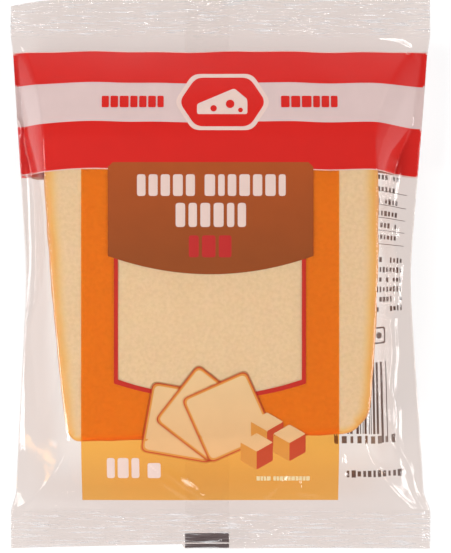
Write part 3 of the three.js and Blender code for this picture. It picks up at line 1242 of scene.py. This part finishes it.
def marks_tree():
    """Rows of small upright marks with some left out, on the flat web."""
    inputs = {
        "Marks": "Int", "Rows": "Int", "Mark pitch": "Float", "Row pitch": "Float",
        "Mark width": "Float", "Mark height": "Float", "Spaces": "Float", "Seed": "Int",
        "Middle": "Vector", "Ink": "Material",
    }
    tree, given, named = start_tree("rows_of_marks", inputs)

    def grid(width, height, columns, rows):
        size = {"Size X": width, "Size Y": height, "Vertices X": columns, "Vertices Y": rows}
        return node(tree, "GeometryNodeMeshGrid", size)

    def uneven(kind, inputs):
        inputs["Seed"] = given["Seed"]
        return node(tree, "FunctionNodeRandomValue", inputs, data_type=kind)

    wide, tall = (
        maths(tree, "MULTIPLY", maths(tree, "SUBTRACT", given[count], 1.0), given[pitch])
        for count, pitch in (("Marks", "Mark pitch"), ("Rows", "Row pitch"))
    )
    spread = {"Mesh": grid(wide, tall, given["Marks"], given["Rows"])}
    places = node(tree, "GeometryNodeMeshToPoints", spread)
    blank = uneven("BOOLEAN", {"Probability": given["Spaces"]})
    is_blank = next(socket for socket in blank.outputs if socket.type == "BOOLEAN")
    gaps = {"Geometry": places, "Selection": is_blank}
    standing = {
        "Points": node(tree, "GeometryNodeDeleteGeometry", gaps),
        "Instance": grid(given["Mark width"], given["Mark height"], 2, 3),
        "Scale": uneven("FLOAT_VECTOR", {0: (0.6, 0.75, 1.0), 1: (1.15, 1.1, 1.0)}),
    }
    rows = node(tree, "GeometryNodeInstanceOnPoints", standing)
    move = {"Geometry": rows, "Translation": given["Middle"]}
    finish_tree(tree, node(tree, "GeometryNodeTransform", move), given["Ink"])
    return tree, named


rows_of_marks = marks_tree()


def on_back(x):
    """Where round the web a place lies that the front shows at this distance across."""
    return 2 * FLAT_HALF - x


def back_field(outer, inner, low, high):
    return square(on_back(outer), low, on_back(inner), high)


def print_marks(name, outer, inner, low, high, rows, mark, spaces, seed, ink=small_ink):
    """Prints rows of marks on the back between two places, each mark (width, height, pitch)."""
    left, right = on_back(outer), on_back(inner)
    width, height, pitch = mark
    flat = bpy.data.meshes.new(name)
    flat.from_pydata([(0, 0, 0)], [], [])
    piece = place_in_scene(name, flat)
    values = {
        "Marks": max(1, round((right - left) / pitch)),
        "Rows": rows,
        "Mark pitch": pitch,
        "Row pitch": (high - low) / max(rows - 1, 1),
        "Mark width": width,
        "Mark height": height,
        "Spaces": spaces,
        "Seed": seed,
        "Middle": ((left + right) / 2, (low + high) / 2, 0.0),
        "Ink": ink,
    }
    add_tree(piece, rows_of_marks, values)
    lay_print(piece, ink, BACK_LAYER)


print_marks("back_text_upper", 55.0, 26.0, 11.2, 29.0, 6, (0.85, 1.5, 1.25), 0.2, 3)
print_marks("back_text_lower", 57.5, 28.0, -10.6, 4.4, 6, (0.9, 1.6, 1.3), 0.2, 8)
print_marks("back_digits", 53.5, 33.0, -48.9, -48.9, 1, (1.3, 2.3, 2.25), 0.0, 4, digit_ink)
print_marks("back_weight", 54.5, 37.0, -58.8, -58.8, 1, (1.15, 1.9, 1.65), 0.1, 6)
rules = [back_field(58, 24, level - RULE_HALF, level + RULE_HALF) for level in RULE_LEVELS]
print_shape("back_rules", rules, small_ink, BACK_LAYER)
draw = random.Random(21)
bars, x = [], BARS[0]
while x > BARS[1]:
    width = draw.choice((0.28, 0.28, 0.5, 0.75))
    foot = SHORT_BARS_FOOT if SHORT_BARS[0] < x < SHORT_BARS[1] else BARS_FOOT
    bars.append(back_field(x, x - width, foot, BARS_TOP))
    x -= width + draw.choice((0.35, 0.5, 0.8, 1.1))
print_shape("back_bars", bars, small_ink, BACK_LAYER)
small_frame = [
    rounded(back_field(50.6, 46.0, -20.8, -15.8), 0.8, 3),
    rounded(back_field(50.1, 46.5, -20.3, -16.3), 0.6, 3),
    disc(on_back(48.3), -18.3, 1.0),
]
print_shape("back_frame", small_frame, small_ink, BACK_LAYER, 0.5)


# ============================================================
# The fin seal
# The web's two edges sealed face to face into a ribbon two films thick, folded over flat against
# the back and caught in both end seals. Near its lower end it carries a dark mark for the cutter.
# ============================================================

FIN_LEFT = -10.4
FIN_RIGHT = 2.5
FIN_SHEET = 0.1
FIN_LIE = 0.05  # between the ribbon and the back sheet at its free edge
FIN_DIP = 0.07  # and this much more at its middle
FIN_RIB_PITCH = 1.5
FIN_RIB_HEIGHT = 0.03
FIN_STEPS = 16  # of the mesh across it
CUTTER_MARK = ((-80.3, -79.1), (-78.7, -75.9))  # its two parts, from here to here along


def fin_mesh():
    """A closed ribbon, ribbed across, that follows the back sheet from cut end to cut end."""
    steps = FIN_STEPS
    across = [lerp(FIN_LEFT, FIN_RIGHT, step / steps) for step in range(steps + 1)]
    points = []
    for v in film_rows:
        under, over = [], []
        for step, u in enumerate(across):
            x, y, level = web_place(on_back(u), v)
            inward = math.sin(math.pi * step / steps)
            rib = FIN_RIB_HEIGHT * math.sin(2 * math.pi * v / FIN_RIB_PITCH) * inward
            top = level - (FIN_LIE + FIN_DIP * inward) + rib
            over.append((x, y, top))
            under.append((x, y, top - FIN_SHEET))
        points += over + under[::-1]
    count = 2 * len(across)
    rings = [list(range(row * count, (row + 1) * count)) for row in range(len(film_rows))]
    faces = join_rings(rings) + [rings[0][::-1], rings[-1]]
    mesh = bpy.data.meshes.new("fin")
    mesh.from_pydata([Vector(point) * MM for point in points], [], faces)
    mesh.shade_smooth()
    mesh.set_sharp_from_angle(angle=FLAT_TURN)
    return mesh


FIN_TONE = (0.99, 0.987, 0.985, 1)
fin_finish = film_material("fin_film", FIN_TONE, FIN_TONE, 0.012, 0.003)
fit(place_in_scene("fin_seal", fin_mesh(), fin_finish))
mark_ink = ink_material("cutter_mark_ink", colour(108, 94, 94), mottle=0.12)
mark_fields = [back_field(FIN_RIGHT, FIN_LEFT, low, high) for low, high in CUTTER_MARK]
print_shape("cutter_mark", mark_fields, mark_ink, BACK_LAYER)


# ============================================================
# The floor, the lights and the camera
# A pale floor that glows a little under a dim sky. The soft boxes and strips stand where the film
# mirrors them as its white lines and glints. The camera looks straight down from above.
# ============================================================

FLOOR_HALF = 3.0
FLOOR_LEVEL = -0.0003
SKY = [(0.0, (0.5, 0.51, 0.54, 1)), (0.75, (0.08, 0.08, 0.09, 1))]  # at the horizon and up high
COOL = (0.93, 0.96, 1.0)


def set_stage():
    mesh = bpy.data.meshes.new("floor")
    corners = square(-FLOOR_HALF, -FLOOR_HALF, FLOOR_HALF, FLOOR_HALF)
    mesh.from_pydata([(x, y, FLOOR_LEVEL) for x, y in corners], [], [(0, 1, 2, 3)])
    material, tree = start_material("pale_floor")
    look = {
        "Base Color": (0.27, 0.27, 0.27, 1),
        "Roughness": 0.9,
        "Specular IOR Level": 0.1,
        "Emission Color": (1, 1, 1, 1),
        "Emission Strength": 0.8,
    }
    finish_material(tree, node(tree, "ShaderNodeBsdfPrincipled", look))
    place_in_scene("floor", mesh, material)

    world = bpy.data.worlds.new("studio")
    bpy.context.scene.world = world
    world.use_nodes = True
    sky = world.node_tree
    towards = node(sky, "ShaderNodeTexCoord").outputs["Generated"]
    height = node(sky, "ShaderNodeSeparateXYZ", {"Vector": towards}).outputs["Z"]
    plug(sky, ramp(sky, height, SKY), sky.nodes["Background"].inputs["Color"])


def add_light(name, place, size, power, tone=(1, 1, 1)):
    """A soft box of the given size in metres, turned to face the pack."""
    lamp = bpy.data.lights.new(name, "AREA")
    lamp.shape = "RECTANGLE"
    lamp.size, lamp.size_y = size
    lamp.energy = power
    lamp.color = tone
    holder = bpy.data.objects.new(name, lamp)
    holder.location = place
    holder.rotation_euler = (-Vector(place)).to_track_quat("-Z", "Y").to_euler()
    bpy.context.scene.collection.objects.link(holder)


set_stage()
add_light("left_box", (-0.42, -0.12, 0.62), (0.2, 0.2), 2.8)
add_light("right_box", (0.85, -1.0, 1.2), (0.37, 0.37), 5.0)
add_light("left_strip", (-1.4, 0.0, 0.93), (0.26, 0.44), 4.6, COOL)
add_light("right_strip", (1.4, -0.1, 0.93), (0.26, 1.4), 12.0)
add_light("front_left_box", (-0.9, -1.0, 0.9), (0.3, 0.3), 1.5, COOL)
add_light("front_right_spot", (0.4, -1.2, 0.33), (0.25, 0.15), 1.3)
add_light("front_right_box", (0.47, -1.22, 0.9), (0.16, 0.16), 1.0)
add_light("low_back", (0.1, 1.3, 0.14), (1.2, 0.16), 8.0)

CAMERA_HEIGHT = 1.2
CAMERA_MIDDLE = (1.46, -0.73)  # millimetres
PICTURE_HEIGHT = 161.8  # what the camera takes in at the level of the film's folds
FOLD_LEVEL = 11.0

camera_data = bpy.data.cameras.new("camera")
camera_data.sensor_width = 36
camera_data.lens = camera_data.sensor_width * (CAMERA_HEIGHT / MM - FOLD_LEVEL) / PICTURE_HEIGHT
camera = bpy.data.objects.new("camera", camera_data)
camera.location = (CAMERA_MIDDLE[0] * MM, CAMERA_MIDDLE[1] * MM, CAMERA_HEIGHT)
bpy.context.scene.collection.objects.link(camera)
bpy.context.scene.camera = camera
bpy.context.scene.view_settings.view_transform = "Standard"
bpy.context.scene.cycles.transparent_max_bounces = 24
